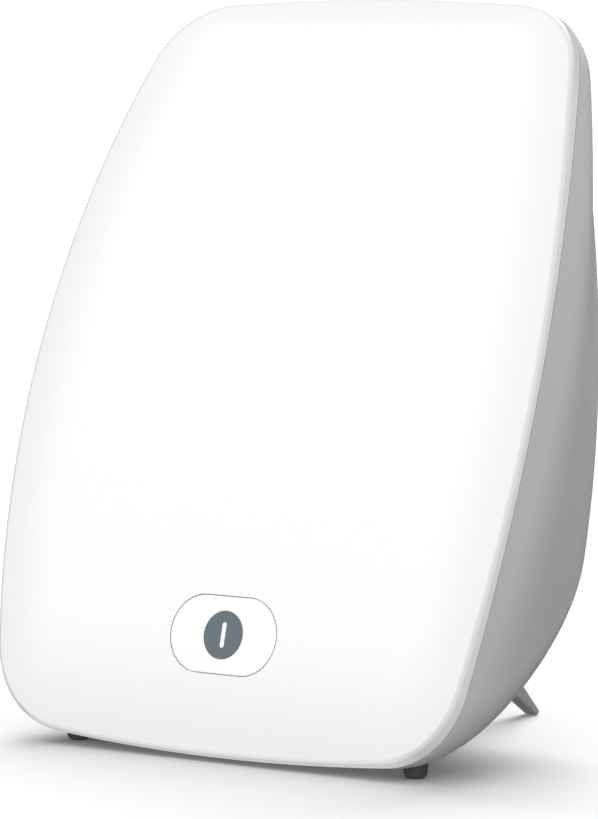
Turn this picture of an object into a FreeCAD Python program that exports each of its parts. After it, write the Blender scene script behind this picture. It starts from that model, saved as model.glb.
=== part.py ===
import FreeCAD, Part
import math
import os

from FreeCAD import Placement, Rotation, Vector

# Light therapy lamp, standing on a table.
# Millimetres. +Z is up, the glowing face looks towards -Y and leans back, X runs across the lamp.
# The origin is under the middle of the lamp, on the table.
#
# Most pieces are drawn flat in the face frame and then leaned back as a whole:
#   x runs across the face, y runs up the face from its bottom edge, z points out of the face.

# ---------------------------------------------------------------- driving dimensions

FACE_WIDTH = 334.0
FACE_LENGTH = 424.5
FACE_LEAN = 20.75            # degrees back from upright
FACE_FOOT_Y = -120.95        # where the bottom edge of the parting plane stands
FACE_FOOT_Z = 2.6

SIDE_RADIUS = 752.0          # bow of the long sides
WIDEST_AT = 186.7            # height up the face where the lamp is widest
END_RADIUS = 1315.0          # bow of the top and bottom edges
CORNER_RADIUS = 50.0

SEAM_RISE = 20.0             # the parting line bows this far out of its chord
FACE_RISE = 16.5             # the same for the front surface
RIM_DEPTH = 7.2              # front surface above the parting line, at the ends
CROWN = 3.0                  # extra height of the middle of the face over its edges
CROWN_POWER = 8              # high: the crown drops off near the edges only
RIM_ROUND = 3.0
COVER_WALL = 2.5
COVER_RIM_WALL = 4.0
LIP_DEPTH = 4.0              # tongue of the cover that sits inside the housing
LIP_GAP = 0.2
SEAM_GAP = 0.6               # shadow groove between cover and housing
SEAM_GROOVE = 1.2            # its depth

HOUSING_WALL = 2.5
BODY_DEPTH = 154.6           # foot of the parting plane to the flat back
BELLY_RISE = 81.4            # the flat back starts this far above the foot

KEY_WIDTH = 69.3
KEY_HEIGHT = 40.6
KEY_CENTRE = 62.2            # up the face
KEY_GAP = 0.65
KEY_TRAVEL = 2.5
KEY_WALL = 2.0
KEY_SKIRT = 14.0
KEY_FLANGE = 1.6
KEY_FLANGE_THICK = 1.5
DISC_RADIUS = 12.9
DISC_THICK = 1.0
BAR_LENGTH = 13.5
BAR_WIDTH = 2.6
GUIDE_WALL = 2.2
GUIDE_GAP = 0.3

LAMP_SPACING = 140.0         # between the two lamps
LAMP_FOOT = 34.0             # up the face, bottom of the lamp's cap
LAMP_TOP_ROOM = 68.5         # from the top of the glass to the top edge
TUBE_RADIUS = 8.75
TUBE_GAP = 3.0               # between the two tubes of a lamp
CAP_LENGTH = 26.0
CAP_FRONT = 10.5             # front of the lamps' caps over the parting plane
CAP_SIDE = 2.0               # the cap is this much wider than its tubes, each side
CAP_COVER = 0.75             # and this much thicker, front and back
HOLDER_LENGTH = 18.0

SHEET = 0.8
SHEET_CLEAR = 1.45           # between the tubes and the reflector behind them
REFLECTOR_SIDE_ROOM = 64.0   # from the edge of the face at its widest to the flat of the sheet
REFLECTOR_FOOT = 14.0
REFLECTOR_TOP_ROOM = 64.5
WING_REACH = 10.0            # the sheet's sides are bent forward
WING_RISE = 10.0
WING_INSET = 72.0            # the bends stop this far from the sheet's ends

BALLAST_HEIGHT = 42.0
BALLAST_DEPTH = 28.0
BALLAST_CENTRE = 222.0       # up the face
BALLAST_TAB = 12.0

SCREW_RADIUS = 1.9
SCREW_HEAD_RADIUS = 3.7
SCREW_HEAD = 2.4
SCREW_PLAY = 0.05
SCREW_BITE = 9.0             # thread inside the piece that a screw holds
SCREW_GRIP = 12.0            # housing plastic under the head of a cover screw
POST_RADIUS = 5.0
WELL_WALL = 1.8
COVER_POST = 10.0            # the cover's posts reach this far behind the parting surface
COVER_SCREW_INSET = 46.0     # from the side edge
COVER_SCREW_FOOT = 72.0      # lowest pair, up the face
COVER_SCREW_MIDDLE = 200.0
COVER_SCREW_TOP_ROOM = 52.5  # highest pair, below the top edge
REFLECTOR_SCREW_INSET = 6.0  # from the side of the sheet
REFLECTOR_SCREW_FOOT = 60.0  # from the foot of the sheet
REFLECTOR_SCREW_TOP = 16.0   # from its top

FOOT_INSET = 54.4            # from the side edge at its widest
FOOT_BACK = 21.7             # behind the foot of the parting plane
FOOT_RADIUS = 7.0
FOOT_ROUND = 3.0             # rounding under the foot

STAND_LENGTH = 124.0         # hinge pin to toe
STAND_DROP = 37.7            # degrees below level when open
STAND_SWING = 129.5          # degrees from open to folded
STAND_PIN_DEPTH = 6.3        # pin behind the flat back
STAND_HALF = 40.0
STAND_TOE_OUT = 36.6
STAND_TOE_WIDTH = 9.2
STAND_ROUND = 1.5
STAND_THICK = 9.0
STAND_NECK_THICK = 8.0       # where the prongs start to thin towards their toes
STAND_TAPER = 22.0           # length of that taper
STAND_TOE_THICK = 3.6
STAND_BRIDGE = 34.0          # length of the plate that joins the two prongs
PIN_RADIUS = 2.0
PIN_PLAY = 0.05
STOP_GAP = 0.3               # between the open stand and the edge of the pocket under it

POCKET_PLAY = 1.5
POCKET_WALL = 3.5
POCKET_FLOOR_GAP = 4.6       # room behind the folded stand for its leaf spring

INLET_X = -95.0
INLET_Z = 152.0
INLET_WIDTH = 26.0
INLET_TALL = 16.0
INLET_DEPTH = 22.0
INLET_SINK = 0.5             # its face under the flat back

VENT_SLOT = 3.0
VENT_PITCH = 8.0
VENT_FIELD_HALF = 62.0
VENT_TOP_ROOM = 73.6         # from the top slot to the top of the parting plane
VENT_FIELD = 40.0            # height of the top field, where the pocket leaves that much
VENT_SIDE_FIELD = 24.0       # height of the fields beside the pocket
VENT_MARGIN = 8.0            # solid back between the slots and the pocket's walls
SCOOP_RADIUS = 16.0          # finger room over the folded stand

# The back of the housing is swept through planes that each hold a smaller copy of the outline.
# A row is one plane: how far back and up its bottom is (shares of BODY_DEPTH and BELLY_RISE), how
# far behind and under the top of the parting plane its top is, and how much narrower each side is.
BACK_PLANES = (
    (0.000, 0.000, 0.00, 0.00, 0.0),
    (0.067, -0.015, 1.93, 1.56, 0.5),
    (0.371, 0.088, 2.58, 4.00, 6.9),
    (0.691, 0.322, 2.65, 10.60, 17.2),
    (0.927, 0.644, 2.75, 19.60, 25.6),
    (0.979, 0.779, 2.90, 26.60, 29.5),
    (1.000, 1.000, 3.20, 36.00, 36.4),
)

# ---------------------------------------------------------------- frames and small helpers

FACE = Placement(Vector(0, FACE_FOOT_Y, FACE_FOOT_Z), Rotation(Vector(1, 0, 0), 90 - FACE_LEAN))
HALF_WIDTH = FACE_WIDTH / 2
MIDDLE = FACE_LENGTH / 2
TUBE_SPACING = 2 * TUBE_RADIUS + TUBE_GAP
CAP_WIDTH = TUBE_SPACING + 2 * TUBE_RADIUS + 2 * CAP_SIDE
CAP_THICK = 2 * TUBE_RADIUS + 2 * CAP_COVER
LAMP_HEIGHT = CAP_FRONT - CAP_THICK / 2                       # axis of the tubes over the parting plane
SHEET_TOP = LAMP_HEIGHT - TUBE_RADIUS - SHEET_CLEAR           # front of the reflector's sheet
REFLECTOR_HEIGHT = SHEET_TOP - SHEET
FAR = 300.0


def lean(shape):
    """Turn a shape that is drawn in the face frame into the lamp's frame."""
    turned = shape.copy()
    turned.Placement = FACE.multiply(turned.Placement)
    return turned


def box(low, high):
    return Part.makeBox(high[0] - low[0], high[1] - low[1], high[2] - low[2], Vector(*low))


def rod(radius, low, length, axis=(0, 0, 1)):
    return Part.makeCylinder(radius, length, Vector(*low), Vector(*axis))


def polygon(points):
    return Part.makePolygon([Vector(*p) for p in points] + [Vector(*points[0])])


def plate(wire, low, high):
    """Prism of a wire that is drawn at z = 0, between two heights."""
    face = Part.Face(wire)
    face.translate(Vector(0, 0, low))
    return face.extrude(Vector(0, 0, high - low))


def arc(a, b, c):
    return Part.Arc(Vector(a[0], a[1], 0), Vector(b[0], b[1], 0), Vector(c[0], c[1], 0)).toShape()


def towards(centre, point, radius):
    """The point at a distance from a centre, in the direction of another point."""
    dx, dy = point[0] - centre[0], point[1] - centre[1]
    reach = math.hypot(dx, dy)
    return centre[0] + dx / reach * radius, centre[1] + dy / reach * radius


def meeting(a, reach_a, b, reach_b, side):
    """Where two circles meet; side picks the meeting on the left (+1) or right (-1) of a to b."""
    dx, dy = b[0] - a[0], b[1] - a[1]
    apart = math.hypot(dx, dy)
    along = (reach_a ** 2 - reach_b ** 2 + apart ** 2) / (2 * apart)
    off = math.sqrt(reach_a ** 2 - along ** 2) * side
    return a[0] + (dx * along - dy * off) / apart, a[1] + (dy * along + dx * off) / apart


def ring(half_width, length, shrink=0.0):
    """The lamp's outline as a closed wire from y = 0: bowed sides and ends with rounded corners.

    shrink takes the same amount off every radius, which keeps a wall even inside another ring."""
    bow = SIDE_RADIUS * (half_width + shrink) / HALF_WIDTH - shrink
    end = END_RADIUS - shrink
    corner = CORNER_RADIUS - shrink
    side = (half_width - bow, WIDEST_AT / FACE_LENGTH * (length + 2 * shrink) - shrink)
    top, foot = (0.0, length - end), (0.0, end)
    upper = meeting(side, bow - corner, top, end - corner, 1)
    lower = meeting(side, bow - corner, foot, end - corner, -1)
    side_low, side_high = towards(side, lower, bow), towards(side, upper, bow)
    top_end, foot_end = towards(top, upper, end), towards(foot, lower, end)
    high_mid = towards(upper, ((side_high[0] + top_end[0]) / 2, (side_high[1] + top_end[1]) / 2), corner)
    low_mid = towards(lower, ((side_low[0] + foot_end[0]) / 2, (side_low[1] + foot_end[1]) / 2), corner)
    side_mid = (half_width, side[1])

    def mirror(p):
        return -p[0], p[1]

    return Part.Wire([
        arc(side_low, side_mid, side_high),
        arc(side_high, high_mid, top_end),
        arc(top_end, (0.0, length), mirror(top_end)),
        arc(mirror(top_end), mirror(high_mid), mirror(side_high)),
        arc(mirror(side_high), mirror(side_mid), mirror(side_low)),
        arc(mirror(side_low), mirror(low_mid), mirror(foot_end)),
        arc(mirror(foot_end), (0.0, 0.0), foot_end),
        arc(foot_end, low_mid, side_low),
    ])


def outline(inset=0.0):
    """The face's outline, or a wire that lies evenly inside it."""
    wire = ring(HALF_WIDTH - inset, FACE_LENGTH - 2 * inset, inset)
    wire.translate(Vector(0, inset, 0))
    return wire


def edge_at(y):
    """Half of the face's width at a height up the face."""
    return HALF_WIDTH - SIDE_RADIUS + math.sqrt(SIDE_RADIUS ** 2 - (y - WIDEST_AT) ** 2)


def capsule(width, height, centre):
    """Closed wire with straight long sides and round ends."""
    r = height / 2
    run = width / 2 - r
    return Part.Wire([
        Part.makeLine(Vector(-run, centre - r, 0), Vector(run, centre - r, 0)),
        arc((run, centre - r), (run + r, centre), (run, centre + r)),
        Part.makeLine(Vector(run, centre + r, 0), Vector(-run, centre + r, 0)),
        arc((-run, centre + r), (-run - r, centre), (-run, centre - r)),
    ])


def bow_height(y, rise):
    """Height over the parting plane of an arc that rises in the middle of the face."""
    radius = (MIDDLE ** 2 + rise ** 2) / (2 * rise)
    return math.sqrt(radius ** 2 - (y - MIDDLE) ** 2) - (radius - rise)


def behind_seam(shift=0.0):
    """Everything behind the bowed parting surface, moved out by shift."""
    margin = 10.0
    low, high = -margin, FACE_LENGTH + margin

    def point(y):
        return Vector(0, y, bow_height(y, SEAM_RISE) + shift)

    edges = [
        Part.Arc(point(low), point(MIDDLE), point(high)).toShape(),
        Part.makeLine(point(high), Vector(0, high, -FAR)),
        Part.makeLine(Vector(0, high, -FAR), Vector(0, low, -FAR)),
        Part.makeLine(Vector(0, low, -FAR), point(low)),
    ]
    face = Part.Face(Part.Wire(edges))
    face.translate(Vector(-FAR, 0, 0))
    return face.extrude(Vector(2 * FAR, 0, 0))


def face_height(x, y):
    """Height of the crowned front surface over the parting plane."""
    across = min(abs(x) / HALF_WIDTH, 1.05)
    along = min(abs(y - MIDDLE) / MIDDLE, 1.05)
    drop = CROWN * (across ** CROWN_POWER + along ** CROWN_POWER)
    return RIM_DEPTH + CROWN + bow_height(y, FACE_RISE) - drop


def under_face(depth=0.0):
    """Everything behind the crowned front surface, lowered by depth."""
    columns, rows, margin = 25, 31, 6.0
    grid = []
    for i in range(columns):
        x = (HALF_WIDTH + margin) * (2 * i / (columns - 1) - 1)
        column = []
        for j in range(rows):
            y = -margin + (FACE_LENGTH + 2 * margin) * j / (rows - 1)
            column.append(Vector(x, y, face_height(x, y) - depth))
        grid.append(column)
    surface = Part.BSplineSurface()
    surface.interpolate(grid)
    return surface.toShape().extrude(Vector(0, 0, -FAR))


def same_solid(shape):
    """The one solid that a boolean result must hold."""
    assert len(shape.Solids) == 1, len(shape.Solids)
    return shape.Solids[0]


def largest(shape):
    return max(shape.Solids, key=lambda solid: solid.Volume)


# ---------------------------------------------------------------- shared forms

FRONT = under_face()
FRONT_INSIDE = under_face(COVER_WALL)
BEHIND = behind_seam()


LEAN = math.radians(FACE_LEAN)
TOP_Y = FACE_FOOT_Y + FACE_LENGTH * math.sin(LEAN)
TOP_Z = FACE_FOOT_Z + FACE_LENGTH * math.cos(LEAN)
X_AXIS = Vector(1, 0, 0)


def tangents(points):
    """Directions of the smooth curve through points, at those points."""
    curve = Part.BSplineCurve()
    curve.interpolate(points)
    return [Vector(*curve.tangent(curve.parameter(p))[0]).normalize() for p in points]


def back_planes(wall):
    """Bottom, top and half width of each plane of the back, moved in square to the surface."""
    feet = [Vector(0, FACE_FOOT_Y + back * BODY_DEPTH, FACE_FOOT_Z + up * BELLY_RISE)
            for back, up, _, _, _ in BACK_PLANES]
    tops = [Vector(0, TOP_Y + back, TOP_Z - down) for _, _, back, down, _ in BACK_PLANES]
    halves = [HALF_WIDTH - narrower for _, _, _, _, narrower in BACK_PLANES]
    share = WIDEST_AT / FACE_LENGTH
    sides = [foot + (top - foot) * share + X_AXIS * half for foot, top, half in zip(feet, tops, halves)]
    last = len(BACK_PLANES) - 1
    planes = []
    for i, (foot_run, top_run, side_run) in enumerate(zip(tangents(feet), tangents(tops), tangents(sides))):
        up = (tops[i] - feet[i]).normalize()
        if i == 0:
            foot_in, top_in, side_in = up, -up, -X_AXIS
        elif i == last:
            foot_in = top_in = side_in = up.cross(-X_AXIS)
        else:
            foot_in, top_in = X_AXIS.cross(foot_run), top_run.cross(X_AXIS)
            side_in = up.cross(side_run).normalize()
        foot, top = feet[i] + foot_in * wall, tops[i] + top_in * wall
        side = sides[i] + side_in * wall
        if 0 < i < last:
            square = X_AXIS.cross(top - foot).normalize()
            side = side - side_run * ((side - foot).dot(square) / side_run.dot(square))
        planes.append((foot, top, side.x))
    return planes


def back_form(wall=0.0):
    """The housing's outside, or its inside at a wall's distance, in the lamp's frame."""
    wires = []
    for foot, top, half in back_planes(wall):
        run = top - foot
        wire = ring(half, run.Length, wall)
        wire.Placement = Placement(foot, Rotation(X_AXIS, math.degrees(math.atan2(run.z, run.y))))
        wires.append(wire)
    swept = Part.makeLoft(wires, True, False)
    straight = plate(outline(wall), 0.0, SEAM_RISE + 12.0)
    return lean(straight).fuse(swept)


def flat_back(z):
    """Where the flat back is at a height."""
    foot, top, _ = back_planes(0.0)[-1]
    return foot.y + (top.y - foot.y) * (z - foot.z) / (top.z - foot.z)


OUTSIDE = back_form()
INSIDE = back_form(HOUSING_WALL)

# ---------------------------------------------------------------- front cover and key

REFLECTOR_HALF = HALF_WIDTH - REFLECTOR_SIDE_ROOM
REFLECTOR_TOP = FACE_LENGTH - REFLECTOR_TOP_ROOM
LAMP_LENGTH = FACE_LENGTH - LAMP_TOP_ROOM - LAMP_FOOT
SCREW_SPOTS = [
    (side * (edge_at(y) - COVER_SCREW_INSET), y)
    for y in (COVER_SCREW_FOOT, COVER_SCREW_MIDDLE, FACE_LENGTH - COVER_SCREW_TOP_ROOM) for side in (-1, 1)
]
POST_SPOTS = [
    (side * (REFLECTOR_HALF - REFLECTOR_SCREW_INSET), y)
    for y in (REFLECTOR_FOOT + REFLECTOR_SCREW_FOOT, REFLECTOR_TOP - REFLECTOR_SCREW_TOP) for side in (-1, 1)
]
WELL_RADIUS = SCREW_HEAD_RADIUS + 0.3


def cover_post_end(y):
    """Height of the back end of a cover post, where the housing's post meets it."""
    return bow_height(y, SEAM_RISE) - COVER_POST


def make_front_cover():
    body = plate(outline(), -5.0, 60.0).common(FRONT).cut(BEHIND)
    top_edges = [e for e in body.Edges if e.CenterOfMass.z > bow_height(e.CenterOfMass.y, SEAM_RISE) + 1.0
                 and min(v.Point.z - bow_height(v.Point.y, SEAM_RISE) for v in e.Vertexes) > 1.0]
    body = body.makeFillet(RIM_ROUND, top_edges)
    hollow = plate(outline(COVER_RIM_WALL), -20.0, 60.0).common(FRONT_INSIDE)
    lip = back_form(HOUSING_WALL + LIP_GAP).cut(back_form(COVER_RIM_WALL))
    lip.Placement = FACE.inverse()
    lip = lip.common(behind_seam(1.0)).cut(behind_seam(-LIP_DEPTH))
    body = body.cut(hollow).fuse(lip)
    for x, y in SCREW_SPOTS:
        post = rod(POST_RADIUS, (x, y, cover_post_end(y)), 60.0).common(under_face(COVER_WALL / 2))
        pilot = rod(SCREW_RADIUS + SCREW_PLAY, (x, y, cover_post_end(y) - 1.0), SCREW_BITE + 1.5)
        body = body.fuse(post).cut(pilot)
    hole = plate(capsule(KEY_WIDTH + 2 * KEY_GAP, KEY_HEIGHT + 2 * KEY_GAP, KEY_CENTRE), -30.0, 60.0)
    return same_solid(body.cut(hole))


KEY_HEIGHT_AT = face_height(0.0, KEY_CENTRE)
PLUNGER_TOP = 5.5
STEM_RADIUS = 5.0


def bar_wire(grow=0.0):
    wire = capsule(BAR_LENGTH + 2 * grow, BAR_WIDTH + 2 * grow, 0.0)
    wire.Placement = Placement(Vector(0, KEY_CENTRE, 0), Rotation(Vector(0, 0, 1), 90))
    return wire


def make_power_button():
    slab = plate(capsule(KEY_WIDTH, KEY_HEIGHT, KEY_CENTRE), KEY_HEIGHT_AT - KEY_SKIRT, 60.0).common(FRONT)
    room = plate(capsule(KEY_WIDTH - 2 * KEY_WALL, KEY_HEIGHT - 2 * KEY_WALL, KEY_CENTRE), -20.0, 60.0)
    room = room.common(under_face(KEY_WALL + DISC_THICK))
    flange = plate(capsule(KEY_WIDTH + 2 * KEY_FLANGE + 2 * KEY_GAP, KEY_HEIGHT + 2 * KEY_FLANGE + 2 * KEY_GAP,
                           KEY_CENTRE), -20.0, 60.0)
    flange_top = COVER_WALL + 0.4
    flange = flange.common(under_face(flange_top)).cut(under_face(flange_top + KEY_FLANGE_THICK))
    stem = rod(STEM_RADIUS, (0, KEY_CENTRE, PLUNGER_TOP), 30.0).common(under_face(KEY_WALL))
    well = rod(DISC_RADIUS, (0, KEY_CENTRE, -30.0), 90.0).cut(under_face(DISC_THICK))
    well = well.cut(plate(bar_wire(), -30.0, 60.0))
    return same_solid(slab.fuse(flange).cut(room).fuse(stem).cut(well))


def make_button_disc():
    disc = rod(DISC_RADIUS, (0, KEY_CENTRE, -30.0), 90.0).common(FRONT).cut(under_face(DISC_THICK))
    return same_solid(disc.cut(plate(bar_wire(), -30.0, 60.0)))


SWITCH_SIZE = (19.0, 13.0, 11.0)
PLUNGER_RADIUS = 2.5
PLUNGER_PLAY = 0.1
GUIDE_FLOOR = 2.0


def make_button_guide():
    inner = (KEY_WIDTH + 2 * GUIDE_GAP, KEY_HEIGHT + 2 * GUIDE_GAP)
    wall = plate(capsule(inner[0] + 2 * GUIDE_WALL, inner[1] + 2 * GUIDE_WALL, KEY_CENTRE), SHEET_TOP, 60.0)
    clear = COVER_WALL + 0.4 + KEY_FLANGE_THICK + KEY_TRAVEL + 0.4
    wall = wall.common(under_face(clear))
    room = plate(capsule(inner[0], inner[1], KEY_CENTRE), SHEET_TOP + GUIDE_FLOOR, 60.0)
    w, h = SWITCH_SIZE[0] / 2 + 0.2, SWITCH_SIZE[1] / 2 + 0.2
    window = box((-w, KEY_CENTRE - h, SHEET_TOP - 1.0), (w, KEY_CENTRE + h, 60.0))
    return same_solid(wall.cut(room).cut(window))


def make_switch_body():
    w, h, t = SWITCH_SIZE
    body = box((-w / 2, KEY_CENTRE - h / 2, SHEET_TOP), (w / 2, KEY_CENTRE + h / 2, SHEET_TOP + t))
    collar = rod(PLUNGER_RADIUS + 2.0, (0, KEY_CENTRE, SHEET_TOP + t), 0.8)
    bore = rod(PLUNGER_RADIUS + PLUNGER_PLAY, (0, KEY_CENTRE, SHEET_TOP + 2.0), 60.0)
    body = body.fuse(collar).cut(bore)
    for side in (-1, 1):
        x = side * 6.0
        tag = box((x - 0.4, KEY_CENTRE - 2.4, SHEET_TOP - 7.0), (x + 0.4, KEY_CENTRE + 2.4, SHEET_TOP))
        body = body.fuse(tag)
    return same_solid(body)


def make_switch_plunger():
    foot = SHEET_TOP + 2.0 + KEY_TRAVEL + 0.6
    return rod(PLUNGER_RADIUS, (0, KEY_CENTRE, foot), PLUNGER_TOP - foot)


# ---------------------------------------------------------------- reflector, lamps and gear

LAMP_SIDES = (("left", -LAMP_SPACING / 2), ("right", LAMP_SPACING / 2))
CAP_PLAY = 0.8
HOLDER_SIDE = 1.0            # the holder is this much wider than the cap, each side


def screw(x, y, seat, length):
    """A pan-head screw whose head sits on a surface that faces out of the face."""
    head = rod(SCREW_HEAD_RADIUS, (x, y, seat), SCREW_HEAD)
    rim = [e for e in head.Edges if abs(e.CenterOfMass.z - seat - SCREW_HEAD) < 0.01]
    head = head.makeChamfer(SCREW_HEAD / 3, rim)
    return head.fuse(rod(SCREW_RADIUS, (x, y, seat - length), length)).removeSplitter()


def make_reflector():
    half = REFLECTOR_HALF
    low, high = REFLECTOR_HEIGHT, SHEET_TOP
    sheet = box((-half, REFLECTOR_FOOT, low), (half, REFLECTOR_TOP, high))
    upright = [e for e in sheet.Edges if e.Length < SHEET + 0.01]
    sheet = sheet.makeFillet(14.0, upright)
    foot = REFLECTOR_FOOT + WING_INSET
    for side in (-1, 1):
        wing = polygon([
            (side * half, foot, low), (side * half, foot, high),
            (side * (half + WING_REACH), foot, high + WING_RISE),
            (side * (half + WING_REACH), foot, low + WING_RISE),
        ])
        sheet = sheet.fuse(Part.Face(wing).extrude(Vector(0, REFLECTOR_TOP - WING_INSET - foot, 0)))
    for name, x in LAMP_SIDES:
        w = CAP_WIDTH / 2 + HOLDER_SIDE + CAP_PLAY
        window = box((x - w, REFLECTOR_FOOT - 1.0, low - 1.0), (x + w, LAMP_FOOT + CAP_LENGTH + CAP_PLAY, high + 1.0))
        sheet = sheet.cut(window)
    for x, y in POST_SPOTS:
        sheet = sheet.cut(rod(SCREW_RADIUS + SCREW_PLAY, (x, y, low - 1.0), SHEET + 2.0))
    for x, y in BALLAST_SPOTS:
        sheet = sheet.cut(rod(SCREW_RADIUS + SCREW_PLAY, (x, y, low - 1.0), SHEET + 2.0))
    for side in (-1, 1):
        x = side * 6.0
        sheet = sheet.cut(box((x - 1.0, KEY_CENTRE - 3.0, low - 1.0), (x + 1.0, KEY_CENTRE + 3.0, high + 1.0)))
    return same_solid(sheet)


BALLAST_SPOTS = [(side * (REFLECTOR_HALF - REFLECTOR_SCREW_INSET), BALLAST_CENTRE) for side in (-1, 1)]


def make_lamp(x):
    """Two glass tubes joined by a short bridge near their closed tops."""
    tubes = []
    foot = LAMP_FOOT + CAP_LENGTH
    reach = LAMP_LENGTH - CAP_LENGTH
    for side in (-1, 1):
        centre = x + side * TUBE_SPACING / 2
        tube = rod(TUBE_RADIUS, (centre, foot, LAMP_HEIGHT), reach - TUBE_RADIUS, (0, 1, 0))
        dome = Part.makeSphere(TUBE_RADIUS, Vector(centre, foot + reach - TUBE_RADIUS, LAMP_HEIGHT))
        tubes.append(tube.fuse(dome))
    bridge = rod(TUBE_RADIUS * 0.45, (x - TUBE_SPACING / 2, foot + reach - 2.2 * TUBE_RADIUS, LAMP_HEIGHT),
                 TUBE_SPACING, (1, 0, 0))
    return same_solid(tubes[0].fuse(tubes[1]).fuse(bridge))


def make_lamp_base(x):
    low = (x - CAP_WIDTH / 2, LAMP_FOOT, LAMP_HEIGHT - CAP_THICK / 2)
    high = (x + CAP_WIDTH / 2, LAMP_FOOT + CAP_LENGTH, LAMP_HEIGHT + CAP_THICK / 2)
    block = box(low, high)
    along = [e for e in block.Edges if abs(e.Vertexes[0].Y - e.Vertexes[1].Y) > CAP_LENGTH / 2]
    block = block.makeFillet(5.0, along)
    for side in (-1.5, -0.5, 0.5, 1.5):
        block = block.fuse(rod(1.1, (x + side * 7.0, LAMP_FOOT - 7.0, LAMP_HEIGHT - 3.0), 7.0, (0, 1, 0)))
    return same_solid(block)


def make_lampholder(x):
    w = CAP_WIDTH / 2 + HOLDER_SIDE
    low = (x - w, LAMP_FOOT - HOLDER_LENGTH, REFLECTOR_HEIGHT - 8.0)
    block = box(low, (x + w, LAMP_FOOT, LAMP_HEIGHT + 6.0))
    front = [e for e in block.Edges if e.CenterOfMass.z > LAMP_HEIGHT + 5.9 and e.CenterOfMass.y < LAMP_FOOT - 1.0]
    block = block.makeChamfer(3.0, front)
    for side in (-1.5, -0.5, 0.5, 1.5):
        block = block.cut(rod(1.3, (x + side * 7.0, LAMP_FOOT - 9.0, LAMP_HEIGHT - 3.0), 10.0, (0, 1, 0)))
    ledge = box((x - w - 5.0, LAMP_FOOT - HOLDER_LENGTH, SHEET_TOP), (x + w + 5.0, LAMP_FOOT - 2.0, SHEET_TOP + 2.0))
    return same_solid(block.fuse(ledge))


CLIP_WIDTH = 10.0
CLIP_THICK = 0.6
CLIP_AT = LAMP_FOOT + LAMP_LENGTH - 34.0


def make_lamp_clip(x):
    """Spring strip that lies on the reflector and curls round the outer side of each tube."""
    inner = TUBE_RADIUS + 0.25
    outer = inner + CLIP_THICK
    floor = box((x - TUBE_SPACING / 2, CLIP_AT, SHEET_TOP), (x + TUBE_SPACING / 2, CLIP_AT + CLIP_WIDTH, SHEET_TOP + CLIP_THICK))
    clip = floor
    for side in (-1, 1):
        centre = (x + side * TUBE_SPACING / 2, CLIP_AT, LAMP_HEIGHT)
        ring = rod(outer, centre, CLIP_WIDTH, (0, 1, 0)).cut(rod(inner, centre, CLIP_WIDTH, (0, 1, 0)))
        reach = centre[0] + side * FAR
        keep = box((min(centre[0], reach), CLIP_AT, -FAR), (max(centre[0], reach), CLIP_AT + CLIP_WIDTH, LAMP_HEIGHT + 4.0))
        clip = clip.fuse(ring.common(keep))
        foot = box((centre[0] - 3.0, CLIP_AT, SHEET_TOP), (centre[0] + 3.0, CLIP_AT + CLIP_WIDTH, LAMP_HEIGHT - inner))
        clip = clip.fuse(foot.cut(rod(inner, centre, CLIP_WIDTH, (0, 1, 0))))
    return same_solid(clip)


def make_ballast():
    w, h, t = 2 * (BALLAST_SPOTS[1][0] - BALLAST_TAB / 2), BALLAST_HEIGHT, BALLAST_DEPTH
    back = REFLECTOR_HEIGHT
    case = box((-w / 2, BALLAST_CENTRE - h / 2, back - t), (w / 2, BALLAST_CENTRE + h / 2, back))
    edges = [e for e in case.Edges if e.CenterOfMass.z < back - t + 0.01 or abs(e.CenterOfMass.z - back + t / 2) < 0.01]
    case = case.makeFillet(2.0, edges)
    for x, y in BALLAST_SPOTS:
        tab = box((x - BALLAST_TAB / 2, y - 9.0, back - 1.5), (x + BALLAST_TAB / 2, y + 9.0, back))
        case = case.fuse(tab).cut(rod(SCREW_RADIUS + SCREW_PLAY, (x, y, back - 3.0), 6.0))
    return same_solid(case)


TERMINAL_SIZE = (34.0, 16.0, 14.0)
TERMINAL_AT = (-52.0, 150.0)


def make_terminal_block():
    w, h, t = TERMINAL_SIZE
    x, y = TERMINAL_AT
    back = REFLECTOR_HEIGHT
    block = box((x - w / 2, y - h / 2, back - t), (x + w / 2, y + h / 2, back))
    for step in (-1, 0, 1):
        hole = rod(1.6, (x + step * 10.0, y - h, back - t / 2), 2 * h, (0, 1, 0))
        head = rod(2.2, (x + step * 10.0, y, back - t - 1.0), 5.0)
        block = block.cut(hole).cut(head)
    return same_solid(block)


# ---------------------------------------------------------------- stand and its pocket

STAND_PIN_Z = STAND_TOE_THICK / 2 + STAND_LENGTH * math.sin(math.radians(STAND_DROP))
STAND_PIN_Y = flat_back(STAND_PIN_Z) - STAND_PIN_DEPTH
OPEN_STAND = Placement(Vector(0, STAND_PIN_Y, STAND_PIN_Z), Rotation(Vector(1, 0, 0), -STAND_DROP))
FOLDED_STAND = Placement(Vector(0, STAND_PIN_Y, STAND_PIN_Z), Rotation(Vector(1, 0, 0), STAND_SWING - STAND_DROP))
BARREL_RADIUS = STAND_THICK / 2


def stand_outline():
    """The stand from its flat side: hinge edge near y = 0, two prongs running past y = STAND_LENGTH."""
    end = STAND_LENGTH + STAND_TOE_THICK
    inner = STAND_TOE_OUT - STAND_TOE_WIDTH
    arch = STAND_BRIDGE + inner
    right = [(STAND_HALF, -BARREL_RADIUS), (STAND_TOE_OUT, end), (inner, end), (inner, arch)]

    def lines(points):
        return [Part.makeLine(Vector(*a, 0), Vector(*b, 0)) for a, b in zip(points, points[1:])]

    left = [(-x, y) for x, y in reversed(right)]
    return Part.Wire(
        lines(right) + [arc(right[-1], (0.0, STAND_BRIDGE), left[0])] + lines(left + right[:1])
    )


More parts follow.
